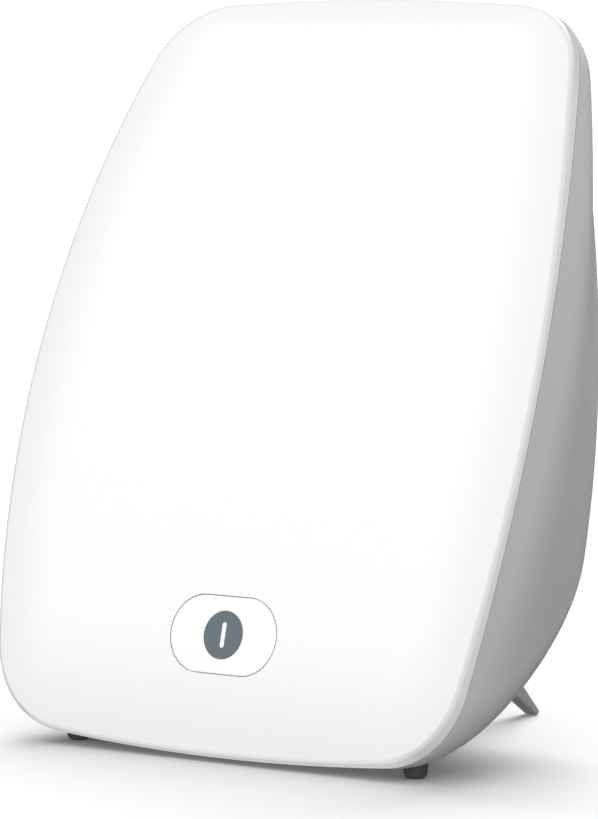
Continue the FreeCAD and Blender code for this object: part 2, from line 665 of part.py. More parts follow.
def stand_profile():
    """The stand from its edge, in the plane across the hinge: a bar that thins towards a round tip."""
    r, tip, neck = STAND_TOE_THICK / 2, STAND_LENGTH, STAND_NECK_THICK / 2
    top = math.sqrt(BARREL_RADIUS ** 2 - 1.0)
    edges = [
        Part.makeLine(Vector(0, 1.0, top), Vector(0, tip - STAND_TAPER, neck)),
        Part.makeLine(Vector(0, tip - STAND_TAPER, neck), Vector(0, tip, r)),
        Part.Arc(Vector(0, tip, r), Vector(0, tip + r, 0), Vector(0, tip, -r)).toShape(),
        Part.makeLine(Vector(0, tip, -r), Vector(0, tip - STAND_TAPER, -neck)),
        Part.makeLine(Vector(0, tip - STAND_TAPER, -neck), Vector(0, 1.0, -top)),
        Part.makeLine(Vector(0, 1.0, -top), Vector(0, 1.0, top)),
    ]
    face = Part.Face(Part.Wire(edges))
    face.translate(Vector(-STAND_HALF, 0, 0))
    return face.extrude(Vector(2 * STAND_HALF, 0, 0))


def make_stand():
    bar = stand_profile().common(plate(stand_outline(), -30.0, 30.0))
    rims = [e for e in bar.Edges if e.CenterOfMass.y > 10.0 and e.BoundBox.YLength > 1.0 and e.BoundBox.ZLength < 8.0]
    bar = bar.makeFillet(STAND_ROUND, rims)
    barrel = rod(BARREL_RADIUS, (-STAND_HALF, 0, 0), 2 * STAND_HALF, (1, 0, 0))
    bore = rod(PIN_RADIUS + PIN_PLAY, (-STAND_HALF - 1.0, 0, 0), 2 * STAND_HALF + 2.0, (1, 0, 0))
    stand = same_solid(bar.fuse(barrel).cut(bore))
    stand.Placement = OPEN_STAND
    return stand


POCKET_FLOOR_Y = STAND_PIN_Y - BARREL_RADIUS - POCKET_FLOOR_GAP
POCKET_FOOT_Z = (STAND_PIN_Z - (BARREL_RADIUS + STOP_GAP) / math.cos(math.radians(STAND_DROP))
                 - (STAND_PIN_DEPTH - 1.6) * math.tan(math.radians(STAND_DROP)))
POCKET_TOP_Z = STAND_PIN_Z + STAND_LENGTH + STAND_TOE_THICK / 2 + 3.0
POCKET_HALF = STAND_HALF + POCKET_PLAY


def pocket_block(grow=0.0):
    low = (-POCKET_HALF - grow, POCKET_FLOOR_Y - grow, POCKET_FOOT_Z - grow)
    high = (POCKET_HALF + grow, POCKET_FLOOR_Y + 60.0, POCKET_TOP_Z + grow)
    block = box(low, high)
    upright = [e for e in block.Edges if abs(e.Vertexes[0].Y - e.Vertexes[1].Y) > 30.0]
    block = block.makeFillet(6.0 + grow, upright)
    scoop = rod(SCOOP_RADIUS + grow, (0, POCKET_FLOOR_Y - grow, POCKET_TOP_Z), 60.0, (0, 1, 0))
    return block.fuse(scoop)


def make_stand_pin():
    reach = POCKET_HALF + POCKET_WALL - 0.5
    return rod(PIN_RADIUS, (-reach, STAND_PIN_Y, STAND_PIN_Z), 2 * reach, (1, 0, 0))


def make_stand_spring():
    """Leaf spring: a bowed strip on the pocket's floor that presses on the hinge barrel."""
    half, thick = 6.0, 0.5
    rise = POCKET_FLOOR_GAP - 0.25
    reach = STAND_PIN_Z - POCKET_FOOT_Z - 0.5

    def strip_edge(lift):
        return Part.Arc(
            Vector(-half, POCKET_FLOOR_Y + lift, STAND_PIN_Z - reach),
            Vector(-half, POCKET_FLOOR_Y + rise - thick + lift, STAND_PIN_Z),
            Vector(-half, POCKET_FLOOR_Y + lift, STAND_PIN_Z + reach),
        ).toShape()

    low, high = strip_edge(0.0), strip_edge(thick)
    ends = [Part.makeLine(a.Point, b.Point) for a, b in zip(low.Vertexes, high.Vertexes)]
    face = Part.Face(Part.Wire(Part.sortEdges([low, high] + ends)[0]))
    leaf = face.extrude(Vector(2 * half, 0, 0))
    foot = box((-half, POCKET_FLOOR_Y, STAND_PIN_Z + reach - 0.4), (half, POCKET_FLOOR_Y + thick, STAND_PIN_Z + reach + 9.0))
    return same_solid(leaf.fuse(foot))


# ---------------------------------------------------------------- inlet

INLET_FACE_Y = flat_back(INLET_Z) - INLET_SINK
SOCKET_DEPTH = 13.0
SOCKET_RADIUS = 4.3
SOCKET_WIDTH = 16.4
PIN_SPACING = 8.6


def along_y(wire, low, high):
    """Prism along Y of a wire that is drawn in x and y, which become x and z at the inlet."""
    shape = Part.Face(wire).extrude(Vector(0, 0, high - low))
    shape.rotate(Vector(0, 0, 0), Vector(1, 0, 0), 90)
    shape.translate(Vector(INLET_X, high, INLET_Z))
    return shape


def make_mains_inlet():
    body = box(
        (INLET_X - INLET_WIDTH / 2, INLET_FACE_Y - INLET_DEPTH, INLET_Z - INLET_TALL / 2),
        (INLET_X + INLET_WIDTH / 2, INLET_FACE_Y, INLET_Z + INLET_TALL / 2),
    )
    upright = [e for e in body.Edges if abs(e.Vertexes[0].Y - e.Vertexes[1].Y) > 10.0]
    body = body.makeFillet(2.0, upright)
    socket = along_y(capsule(SOCKET_WIDTH, 2 * SOCKET_RADIUS, 0.0), INLET_FACE_Y - SOCKET_DEPTH, INLET_FACE_Y + 1.0)
    body = body.cut(socket)
    for side in (-1, 1):
        x = INLET_X + side * PIN_SPACING / 2
        body = body.cut(rod(1.2, (x, INLET_FACE_Y - INLET_DEPTH - 1.0, INLET_Z), INLET_DEPTH, (0, 1, 0)))
    return same_solid(body)


def make_inlet_pins():
    pins = []
    for side in (-1, 1):
        x = INLET_X + side * PIN_SPACING / 2
        pin = rod(1.2, (x, INLET_FACE_Y - INLET_DEPTH - 5.0, INLET_Z), INLET_DEPTH + 3.0, (0, 1, 0))
        tip = [e for e in pin.Edges if e.CenterOfMass.y > INLET_FACE_Y - 2.5 and len(e.Vertexes) == 1]
        pins.append(pin.makeFillet(0.8, tip))
    return Part.makeCompound(pins)


# ---------------------------------------------------------------- housing

def back_slots():
    """Rows of vent slots: one field high on the back, two beside the stand's pocket."""
    slots = []
    high = TOP_Z - VENT_TOP_ROOM
    free = high - (POCKET_TOP_Z + SCOOP_RADIUS + POCKET_WALL + VENT_MARGIN)
    rows = int(min(VENT_FIELD, free) / VENT_PITCH) + 1
    for row in range(rows):
        reach = VENT_FIELD_HALF - 4.0 * abs(row - (rows - 1) / 2)
        slots.append(((-reach, reach), high - row * VENT_PITCH))
    for side in (-1, 1):
        for row in range(int(VENT_SIDE_FIELD / VENT_PITCH) + 1):
            z = POCKET_TOP_Z - 12.0 + row * VENT_PITCH
            near = POCKET_HALF + POCKET_WALL + 14.0
            slots.append((tuple(sorted((side * near, side * (near + 52.0)))), z))
    cuts = []
    for (low, high), z in slots:
        wire = capsule(high - low, VENT_SLOT, 0.0)
        cut = Part.Face(wire).extrude(Vector(0, 0, 60.0))
        cut.rotate(Vector(0, 0, 0), Vector(1, 0, 0), 90)
        cut.translate(Vector((low + high) / 2, 60.0, z))
        cuts.append(cut)
    return Part.makeCompound(cuts)


def make_rear_housing():
    shell = OUTSIDE.cut(INSIDE)
    for x, y in SCREW_SPOTS:
        well = lean(rod(WELL_RADIUS + WELL_WALL, (x, y, -FAR), FAR + cover_post_end(y))).common(OUTSIDE)
        shell = shell.fuse(largest(well))
    for x, y in POST_SPOTS:
        post = lean(rod(POST_RADIUS, (x, y, -FAR), FAR + REFLECTOR_HEIGHT)).common(OUTSIDE)
        shell = shell.fuse(largest(post))
    shell = shell.cut(lean(behind_front())).cut(lean(seam_groove()))
    for x, y in SCREW_SPOTS:
        seat = cover_post_end(y) - SCREW_GRIP
        shell = shell.cut(lean(rod(SCREW_RADIUS + 0.3, (x, y, seat - 1.0), SCREW_GRIP + 2.0)))
        shell = shell.cut(lean(rod(WELL_RADIUS, (x, y, seat - FAR), FAR)))
    for x, y in POST_SPOTS:
        pilot = rod(SCREW_RADIUS + SCREW_PLAY, (x, y, REFLECTOR_HEIGHT - SCREW_BITE - 1.0), 60.0)
        shell = shell.cut(lean(pilot))
    tub = pocket_block(POCKET_WALL).common(OUTSIDE)
    shell = shell.fuse(tub).cut(pocket_block())
    shell = shell.cut(rod(PIN_RADIUS, (-POCKET_HALF - POCKET_WALL + 0.5, STAND_PIN_Y, STAND_PIN_Z),
                          2 * (POCKET_HALF + POCKET_WALL - 0.5), (1, 0, 0)))
    inlet_hole = box(
        (INLET_X - INLET_WIDTH / 2 - 0.2, INLET_FACE_Y - INLET_DEPTH, INLET_Z - INLET_TALL / 2 - 0.2),
        (INLET_X + INLET_WIDTH / 2 + 0.2, INLET_FACE_Y + 20.0, INLET_Z + INLET_TALL / 2 + 0.2),
    )
    shell = shell.cut(inlet_hole).cut(back_slots())
    return largest(shell)


def seam_groove():
    """Shallow groove round the lamp, in the housing's edge beside the cover."""
    band = plate(outline(-3.0), -20.0, 60.0).cut(plate(outline(SEAM_GROOVE), -21.0, 61.0))
    return band.common(behind_seam(1.0)).cut(behind_seam(-SEAM_GAP))


def behind_front():
    """Everything in front of the parting surface, for trimming the housing."""
    return box((-FAR, -60.0, -20.0), (FAR, FACE_LENGTH + 60.0, 80.0)).cut(BEHIND)


def make_foot(side):
    place = Vector(side * (HALF_WIDTH - FOOT_INSET), FACE_FOOT_Y + FOOT_BACK, 0)
    stub = Part.makeCone(FOOT_RADIUS - 1.0, FOOT_RADIUS, 14.0, place)
    rim = [e for e in stub.Edges if abs(e.CenterOfMass.z) < 0.01 and len(e.Vertexes) == 1]
    stub = stub.makeFillet(FOOT_ROUND, rim)
    pieces = stub.cut(OUTSIDE).Solids
    return min(pieces, key=lambda solid: solid.CenterOfMass.z)


# ---------------------------------------------------------------- fasteners

def make_housing_screws():
    screws = []
    for x, y in SCREW_SPOTS:
        seat = cover_post_end(y) - SCREW_GRIP
        head = rod(SCREW_HEAD_RADIUS, (x, y, seat - SCREW_HEAD), SCREW_HEAD)
        shank = rod(SCREW_RADIUS, (x, y, seat), SCREW_GRIP + SCREW_BITE - 1.0)
        slot = box((x - 0.5, y - 3.0, seat - SCREW_HEAD - 1.0), (x + 0.5, y + 3.0, seat - SCREW_HEAD + 1.2))
        cross = box((x - 3.0, y - 0.5, seat - SCREW_HEAD - 1.0), (x + 3.0, y + 0.5, seat - SCREW_HEAD + 1.2))
        screws.append(lean(head.fuse(shank).cut(slot).cut(cross)))
    return Part.makeCompound(screws)


def make_reflector_screws():
    return Part.makeCompound([lean(screw(x, y, SHEET_TOP, SHEET + SCREW_BITE)) for x, y in POST_SPOTS])


def make_ballast_screws():
    return Part.makeCompound([lean(screw(x, y, SHEET_TOP, SHEET + 5.0)) for x, y in BALLAST_SPOTS])


# ---------------------------------------------------------------- build

def leaned(maker, *values):
    return lean(maker(*values))


NODES = {
    "front_cover": leaned(make_front_cover),
    "rear_housing": make_rear_housing(),
    "power_button": leaned(make_power_button),
    "button_disc": leaned(make_button_disc),
    "button_guide": leaned(make_button_guide),
    "switch_body": leaned(make_switch_body),
    "switch_plunger": leaned(make_switch_plunger),
    "reflector": leaned(make_reflector),
    "ballast": leaned(make_ballast),
    "terminal_block": leaned(make_terminal_block),
    "mains_inlet": make_mains_inlet(),
    "inlet_pins": make_inlet_pins(),
    "stand": make_stand(),
    "stand_pin": make_stand_pin(),
    "stand_spring": make_stand_spring(),
    "front_foot_left": make_foot(-1),
    "front_foot_right": make_foot(1),
    "housing_screws": make_housing_screws(),
    "reflector_screws": make_reflector_screws(),
    "ballast_screws": make_ballast_screws(),
}
for side_name, lamp_x in LAMP_SIDES:
    NODES["lamp_" + side_name] = leaned(make_lamp, lamp_x)
    NODES["lamp_base_" + side_name] = leaned(make_lamp_base, lamp_x)
    NODES["lampholder_" + side_name] = leaned(make_lampholder, lamp_x)
    NODES["lamp_clip_" + side_name] = leaned(make_lamp_clip, lamp_x)

os.makedirs("parts", exist_ok=True)
for node, shape in NODES.items():
    shape.exportStep("parts/" + node + ".step")
    size = shape.BoundBox
    print("%-18s solids %d  valid %s  volume %9.0f  y %7.1f %7.1f  z %6.1f %6.1f" % (
        node, len(shape.Solids), shape.isValid(), shape.Volume, size.YMin, size.YMax, size.ZMin, size.ZMax))
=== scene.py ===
# %% [markdown]
# # A light therapy lamp
#
# The lamp's real shape comes ready made from the CAD model: every cover, key, tube and screw is already a
# solid at its true size. What is left is how each one looks. This script gives every piece the finish of its
# real material, stands the lamp on a plain pale floor, and lights it softly, as in a small studio.

# %% Load the CAD model
import math

import bpy
from mathutils import Matrix, Vector

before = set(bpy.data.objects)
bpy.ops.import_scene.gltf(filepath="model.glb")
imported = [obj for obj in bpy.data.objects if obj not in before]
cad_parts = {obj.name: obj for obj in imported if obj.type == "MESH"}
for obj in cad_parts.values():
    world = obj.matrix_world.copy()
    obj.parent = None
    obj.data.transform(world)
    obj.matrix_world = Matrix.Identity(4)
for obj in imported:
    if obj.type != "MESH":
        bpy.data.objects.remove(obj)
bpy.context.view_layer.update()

# %% [markdown]
# ## The camera
#
# A long lens stands well back, turned 37 degrees from the front and a little above the middle, so that
# upright edges stay nearly parallel. A constraint could aim the camera at the lamp. Here its place and its
# three directions are plain numbers instead, which can't be upset by a later change. The lens is shifted a
# little, which slides the lamp in the picture without turning the camera.

# %% Camera
camera_at = Vector((1.54788, -2.10789, 0.39135))  # metres
camera_right = Vector((0.79907685, 0.60122890, 0.0))
camera_up = Vector((-0.04456245, 0.05922674, 0.99724941))
camera_back = Vector((0.59957517, -0.79687891, 0.07411895))

lens = bpy.data.cameras.new("camera")
lens.lens = 212.13  # mm
lens.sensor_width = 36.0  # mm
lens.shift_x = 0.0014  # both shifts are shares of the picture's longer side
lens.shift_y = -0.0409
lens.clip_end = 200.0  # metres, past the far edge of the floor
camera = bpy.data.objects.new("camera", lens)
bpy.context.collection.objects.link(camera)
turn = Matrix((camera_right, camera_up, camera_back)).transposed().to_4x4()
camera.matrix_world = Matrix.Translation(camera_at) @ turn
bpy.context.scene.camera = camera
bpy.context.scene.view_settings.view_transform = "Standard"
print("the camera is", round(camera_at.length, 2), "m from the lamp")

# %% [markdown]
# ## A few helpers
#
# Colours are easiest to read as hex, as a designer writes them, but Blender mixes light in linear values, so
# one function does that change. Another adds a node to a material, sets it up and joins what feeds it, so that
# each material below reads like a recipe. Two more start a material and put it on its pieces.

# %% Colours
def linear(hex_colour):
    """Linear RGBA of a colour that is written as #rrggbb."""
    parts = [int(hex_colour[i:i + 2], 16) / 255 for i in (1, 3, 5)]
    return [c / 12.92 if c <= 0.04045 else ((c + 0.055) / 1.055) ** 2.4 for c in parts] + [1.0]


white = linear("#ffffff")
print("mid grey #808080 in linear light:", round(linear("#808080")[0], 3))


# %% Nodes and materials
def node(tree, kind, settings=None, **inputs):
    """Add a node. settings are its properties. Inputs go by name, or by number after an underscore where a
    node has several of one name, and each is a value or the output of another node."""
    made = tree.nodes.new(kind)
    for name, value in (settings or {}).items():
        setattr(made, name, value)
    for name, value in inputs.items():
        socket = made.inputs[int(name[1:]) if name[1:].isdigit() else name.replace("_", " ")]
        if isinstance(value, bpy.types.NodeSocket):
            tree.links.new(value, socket)
        else:
            socket.default_value = value
    return made


def new_material(name):
    """A material with just its Principled shader, which each recipe then feeds."""
    material = bpy.data.materials.new(name)
    material.use_nodes = True
    return material, material.node_tree, material.node_tree.nodes["Principled BSDF"]


def dress(material, *names):
    """Put a material on CAD pieces."""
    for name in names:
        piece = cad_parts[name]
        piece.data.materials.clear()
        piece.data.materials.append(material)
    print(material.name, "is on", ", ".join(names))


print("the lamp has", len(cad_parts), "pieces to dress")

# %% [markdown]
# ## Moulded plastics
#
# Most of the lamp is injection moulded. The steel tool is spark-eroded, and the plastic takes over its fine
# even grain: bumps so small that one hardly sees them, but they turn a hard shine into a soft sheen. A flat
# colour with one roughness would look like a computer's plastic. So each recipe has three layers: the grain as
# a bump, a slow change of tone from how the plastic flowed, and a slow change of gloss from handling. The real
# grain is about 0.2 mm from bump to bump. That is too fine to show from here, so it is drawn about twice as
# coarse.

# %% A recipe for moulded plastic
# a noise of scale 1 has a bump about every metre, so a thousand over a size in mm gives bumps of that size
per_metre = 1000.0
bump_height = 0.0001  # metres, the full height of a bump
flow_mm = 80.0        # the flow of the plastic shows as clouds of about this size
tone_drift = 0.035    # a cloud's tone is up to this share darker or lighter
gloss_drift = 0.05    # and its roughness up to this much lower or higher


def moulded(name, colour, rough, grain_mm=0.45, grain_depth=0.12):
    """Moulded plastic: a grain of grain_mm from bump to bump, and a faint drift of tone and gloss."""
    material, tree, shader = new_material(name)
    place = node(tree, "ShaderNodeTexCoord").outputs["Object"]
    grain = node(tree, "ShaderNodeTexNoise", Vector=place, Scale=per_metre / grain_mm, Detail=2.0)
    clouds = node(tree, "ShaderNodeTexNoise", Vector=place, Scale=per_metre / flow_mm, Detail=3.0)
    darker = [c * (1.0 - tone_drift) for c in linear(colour)[:3]] + [1.0]
    lighter = [min(1.0, c * (1.0 + tone_drift)) for c in linear(colour)[:3]] + [1.0]
    # a Mix node takes its share at input 0 and two colours at 6 and 7, and gives the mixed colour at output 2
    tone = node(tree, "ShaderNodeMix", {"data_type": "RGBA"},
                _0=clouds.outputs["Fac"], _6=darker, _7=lighter).outputs[2]
    gloss = node(tree, "ShaderNodeMapRange", Value=clouds.outputs["Fac"],
                 To_Min=rough - gloss_drift, To_Max=rough + gloss_drift)
    bump = node(tree, "ShaderNodeBump",
                Strength=grain_depth, Distance=bump_height, Height=grain.outputs["Fac"])
    tree.links.new(tone, shader.inputs["Base Color"])
    tree.links.new(gloss.outputs["Result"], shader.inputs["Roughness"])
    tree.links.new(bump.outputs["Normal"], shader.inputs["Normal"])
    shader.inputs["IOR"].default_value = 1.53  # ABS
    return material


print("the flow of the plastic shows as clouds of", flow_mm, "mm")

# %% The plastics behind the face
# ABS with a spark-eroded grain: the eye gets a soft, even, light grey with no sharp reflection in it.
dress(moulded("abs_spark_eroded_light_grey", "#d8d8d8", rough=0.55), "rear_housing")

# The same ABS a shade darker, for the prop: it reads as a separate moulding behind the lamp.
dress(moulded("abs_spark_eroded_mid_grey", "#acacac", rough=0.45), "stand")

# Nitrile rubber gives almost no highlight: the feet read as small dark marks under the white face.
dress(moulded("nitrile_rubber_dark_grey", "#444445", rough=0.8, grain_mm=0.7, grain_depth=0.3),
      "front_foot_left", "front_foot_right")

# Plain white ABS, straight from the tool, gives a quiet soft white on the frame that guides the key.
dress(moulded("abs_plain_white", "#e8e8e4", rough=0.5), "button_guide")

# Glass-filled nylon is black and slightly dusty, because the fibres break up its surface.
dress(moulded("nylon_glass_filled_black", "#1d1e1f", rough=0.55, grain_mm=0.3, grain_depth=0.2),
      "switch_body", "terminal_block", "mains_inlet")

# Lamp caps and holders are a cream thermoset, smooth but never quite shiny.
dress(moulded("thermoset_cream", "#dcdad0", rough=0.4, grain_mm=0.8, grain_depth=0.05),
      "lamp_base_left", "lamp_base_right", "lampholder_left", "lampholder_right")

# %% [markdown]
# ## The key and its disc
#
# The key is white plastic. Its glow is painted light, which makes it as bright as the glowing face around it.
# The
# glow has to stop at its edge: the walls of the gap round the key look sideways, and if they glowed as well,
# the key would melt into the face. An invisible lamp behind the key could light it, but its light would spill
# into the gap. So the shader gives off the light, and a mask lets it out only where the surface looks straight
# out of the lamp.

# %% A mask for surfaces that look out of the lamp
face_lean = math.radians(20.75)  # the face leans back by this much
outward = (0.0, -math.cos(face_lean), math.sin(face_lean))


def faces_out(tree, low, high):
    """1 where a surface looks straight out of the lamp's face, less where it turns away, and 0 below low."""
    normal = node(tree, "ShaderNodeNewGeometry").outputs["Normal"]
    facing = node(tree, "ShaderNodeVectorMath", {"operation": "DOT_PRODUCT"}, _0=normal, _1=outward)
    return node(tree, "ShaderNodeMapRange", {"interpolation_type": "SMOOTHSTEP"},
                Value=facing.outputs["Value"], From_Min=low, From_Max=high).outputs[0]


print("straight out of the face is", [round(c, 3) for c in outward])

# %% The plastics of the key
# the strength of the key's painted glow, which makes the white key as bright as the glowing face
painted_key_glow = 0.24

# ABS from a polished tool: a clean white with a satin shine along the key's rounded edge.
abs_polished = moulded("abs_polished_white_painted_glow", "#f4f4f2", rough=0.25, grain_mm=1.2, grain_depth=0.03)
tree = abs_polished.node_tree
shader = tree.nodes["Principled BSDF"]
# painted light: the key glows only where it looks straight out of the face
painted_key_light = node(tree, "ShaderNodeMath", {"operation": "MULTIPLY"},
               _0=faces_out(tree, 0.8, 1.0), _1=painted_key_glow).outputs[0]
tree.links.new(painted_key_light, shader.inputs["Emission Strength"])
shader.inputs["Emission Color"].default_value = white
dress(abs_polished, "power_button", "switch_plunger")

# The disc is dyed slate grey and left matt, so that the white bar in its slot is easy to find.
dress(moulded("abs_matt_slate_grey", "#6a7a82", rough=0.4, grain_mm=0.35, grain_depth=0.1), "button_disc")

# %% [markdown]
# ## The opal face
#
# The face is acrylic with a milky filler, and the tubes behind it make it glow. The glow could come from real
# lamps inside, but that needs thousands of light paths through a cloudy wall. Here the shader itself gives off
# the light, and its strength follows how far each spot is from the rim, measured on the face just as it was
# drawn
# in CAD. It is partly the tubes' light and partly painted light that stands for the studio light on the face:
# even over the tubes, and weaker towards the rim and near the foot, which is painted shade.

# %% Where on the face a spot lies
foot_y, foot_z = -0.12095, 0.0026        # its lower edge, in metres
half_width, face_length = 0.167, 0.4245  # its size
side_radius, widest_at = 0.752, 0.1867   # its bowed sides

opal, tree, shader = new_material("acrylic_opal_glow_with_painted_shade")
place = node(tree, "ShaderNodeTexCoord").outputs["Object"]
part = node(tree, "ShaderNodeSeparateXYZ", Vector=place).outputs

# the height along the leaning face, from its lower edge
along_y = node(tree, "ShaderNodeMath", {"operation": "MULTIPLY_ADD"},
               _0=part["Y"], _1=math.sin(face_lean), _2=-foot_y * math.sin(face_lean)).outputs[0]
along_z = node(tree, "ShaderNodeMath", {"operation": "MULTIPLY_ADD"},
               _0=part["Z"], _1=math.cos(face_lean), _2=-foot_z * math.cos(face_lean)).outputs[0]
height = node(tree, "ShaderNodeMath", {"operation": "ADD"}, _0=along_y, _1=along_z).outputs[0]

# the half width at that height: a circle's arc through the widest place
above = node(tree, "ShaderNodeMath", {"operation": "SUBTRACT"}, _0=height, _1=widest_at).outputs[0]
above = node(tree, "ShaderNodeMath", {"operation": "MULTIPLY"}, _0=above, _1=above).outputs[0]
arc = node(tree, "ShaderNodeMath", {"operation": "SUBTRACT"}, _0=side_radius ** 2, _1=above).outputs[0]
arc = node(tree, "ShaderNodeMath", {"operation": "SQRT"}, _0=arc).outputs[0]
arc = node(tree, "ShaderNodeMath", {"operation": "ADD"}, _0=arc, _1=half_width - side_radius).outputs[0]

across = node(tree, "ShaderNodeMath", {"operation": "ABSOLUTE"}, _0=part["X"]).outputs[0]
from_side = node(tree, "ShaderNodeMath", {"operation": "SUBTRACT"}, _0=arc, _1=across).outputs[0]
from_top = node(tree, "ShaderNodeMath", {"operation": "SUBTRACT"}, _0=face_length, _1=height).outputs[0]
print("the face is", 2 * half_width, "m wide and", face_length, "m long")

# %% How strongly a spot glows
# painted shade: the glow grows from the outline inwards, over these bands in metres
side_band, top_band, foot_band = 0.045, 0.03, 0.08
weakest, strongest = 0.36, 0.455

from_sides = node(tree, "ShaderNodeMapRange", {"interpolation_type": "SMOOTHERSTEP"},
                  Value=from_side, From_Max=side_band).outputs[0]
below_top = node(tree, "ShaderNodeMapRange", {"interpolation_type": "SMOOTHERSTEP"},
                 Value=from_top, From_Max=top_band).outputs[0]
above_foot = node(tree, "ShaderNodeMapRange", {"interpolation_type": "SMOOTHSTEP"},
                  Value=height, From_Max=foot_band).outputs[0]
glow = node(tree, "ShaderNodeMath", {"operation": "MULTIPLY"}, _0=from_sides, _1=below_top).outputs[0]
glow = node(tree, "ShaderNodeMath", {"operation": "MULTIPLY"}, _0=glow, _1=above_foot).outputs[0]
glow = node(tree, "ShaderNodeMapRange", Value=glow, To_Min=weakest, To_Max=strongest).outputs[0]
print("the glow grows from", weakest, "at the outline to", strongest, "in the middle")

# %% [markdown]
# ### Which surfaces of the face glow
#
# The front glows fully and its rounded edge less, which is painted shade. What looks sideways or inwards
# doesn't glow, so the hole round the key stays dark and the key keeps its outline. The rim's own outer wall
# looks sideways too, but it is given painted light. It is told from the walls of the hole by how close it lies
# to the outline.

# %% The front and its rounded edge
# each pair of numbers says where a mask starts and where it is full, on the scale of faces_out: 1 is straight
# out of the face, 0 is sideways and -1 is straight back into the lamp
front = faces_out(tree, 0.8, 1.0)
turned_out = faces_out(tree, 0.15, 0.5)
not_behind = faces_out(tree, -0.6, -0.2)

# the edge glows less than the front, as painted shade, but just as much along the foot, as painted light there
painted_edge_glow = 0.5
foot_low, foot_high = 0.004, 0.012  # metres above the face's lower edge
edge = node(tree, "ShaderNodeMapRange", Value=height,
            From_Min=foot_high, From_Max=foot_low, To_Min=painted_edge_glow, To_Max=1.0).outputs[0]
rounding = node(tree, "ShaderNodeMath", {"operation": "MULTIPLY"}, _0=turned_out, _1=edge).outputs[0]
print("the rounded edge glows", painted_edge_glow, "times as much as the front")

# %% The rim's wall
# it looks sideways and lies close to the outline: fully within the first distance, not at all past the second
wall_near, wall_far = 0.014, 0.020  # metres
inset = node(tree, "ShaderNodeMath", {"operation": "MINIMUM"}, _0=from_side, _1=from_top).outputs[0]
inset = node(tree, "ShaderNodeMath", {"operation": "MINIMUM"}, _0=inset, _1=height).outputs[0]
near = node(tree, "ShaderNodeMapRange", Value=inset, From_Min=wall_far, From_Max=wall_near).outputs[0]
sideways = node(tree, "ShaderNodeMath", {"operation": "SUBTRACT"}, _0=not_behind, _1=turned_out).outputs[0]
wall = node(tree, "ShaderNodeMath", {"operation": "MULTIPLY"}, _0=near, _1=sideways).outputs[0]
wall = node(tree, "ShaderNodeMath", {"operation": "MULTIPLY"}, _0=wall, _1=edge).outputs[0]

# painted light on the rim's wall: at the very top the wall doesn't glow, and below this distance from the top
# it glows most
top_fade, painted_wall_glow = 0.06, 1.3
below_rim = node(tree, "ShaderNodeMapRange", Value=from_top, From_Max=top_fade, To_Max=painted_wall_glow).outputs[0]
wall = node(tree, "ShaderNodeMath", {"operation": "MULTIPLY"}, _0=wall, _1=below_rim).outputs[0]
print("the rim's wall glows in full within", wall_near, "m of the outline")

# %% The glow of each surface
skin = node(tree, "ShaderNodeMath", {"operation": "MAXIMUM"}, _0=front, _1=rounding).outputs[0]
skin = node(tree, "ShaderNodeMath", {"operation": "MAXIMUM"}, _0=skin, _1=wall).outputs[0]
glow = node(tree, "ShaderNodeMath", {"operation": "MULTIPLY"}, _0=glow, _1=skin).outputs[0]
tree.links.new(glow, shader.inputs["Emission Strength"])
print("the face's material has", len(tree.nodes), "nodes")

# %% Opal acrylic
# Opal acrylic has a satin skin over a milky body: the eye gets a wide soft sheen and no grain at all.
shader.inputs["Base Color"].default_value = linear("#cfcfcd")
shader.inputs["Roughness"].default_value = 0.32
shader.inputs["IOR"].default_value = 1.49
shader.inputs["Subsurface Weight"].default_value = 0.1
shader.inputs["Subsurface Radius"].default_value = (1.0, 1.0, 1.0)  # all colours go equally deep
shader.inputs["Subsurface Scale"].default_value = 0.001  # metres
shader.inputs["Emission Color"].default_value = white
dress(opal, "front_cover")

# %% [markdown]
# ## Metals and glass
#
# These pieces are inside the lamp or at its back. Each still gets its own finish, because the lamp is also
# looked at from behind and with its stand folded. Metal shows how it was made: rolled and drawn steel carries
# fine lines along its length, which stretch each highlight. A noise that is squashed along one axis makes such
# lines. The real lines are under 0.1 mm apart, and are drawn twice as wide so that they show.

# %% A recipe for drawn metal
draw_scale = 0.03  # the noise is scaled by this along Z, which makes long lines of round bumps
line_drift = 0.08  # a line's roughness is up to this much lower or higher
line_depth = 0.1   # the strength of a line's bump


def drawn_metal(name, colour, rough, line_mm=0.2):
    """Bare metal with fine lines along Z, line_mm apart."""
    material, tree, shader = new_material(name)
    place = node(tree, "ShaderNodeTexCoord").outputs["Object"]
    drawn_out = node(tree, "ShaderNodeMapping", Vector=place, Scale=(1.0, 1.0, draw_scale)).outputs[0]
    lines = node(tree, "ShaderNodeTexNoise", Vector=drawn_out, Scale=per_metre / line_mm, Detail=2.0)
    gloss = node(tree, "ShaderNodeMapRange", Value=lines.outputs["Fac"],
                 To_Min=rough - line_drift, To_Max=rough + line_drift)
    bump = node(tree, "ShaderNodeBump",
                Strength=line_depth, Distance=bump_height, Height=lines.outputs["Fac"])
    tree.links.new(gloss.outputs["Result"], shader.inputs["Roughness"])
    tree.links.new(bump.outputs["Normal"], shader.inputs["Normal"])
    shader.inputs["Base Color"].default_value = linear(colour)
    shader.inputs["Metallic"].default_value = 1.0
    return material


print("a line in the metal is about", round(1.0 / draw_scale), "times as long as it is wide")

# %% Metals, glass and powder coat
# Tempered spring steel: greyer than the screws, with a wide dull streak of light on the pin and the springs.
dress(drawn_metal("spring_steel_tempered", "#8d8f92", rough=0.48),
      "stand_pin", "stand_spring", "lamp_clip_left", "lamp_clip_right")

# Zinc plate is bluish and softer than bare steel, so the screw heads look calm.
dress(drawn_metal("steel_zinc_plated", "#b8bbbe", rough=0.38),
      "housing_screws", "reflector_screws", "ballast_screws")

# Aluminium as it left the mill: pale, with a wide blurred highlight.
dress(drawn_metal("aluminium_mill_finish", "#cfd1d3", rough=0.42), "ballast")

# Brass with a bright turned surface: two small yellow points inside the black inlet.
dress(drawn_metal("brass_bright_turned", "#d8b866", rough=0.25), "inlet_pins")

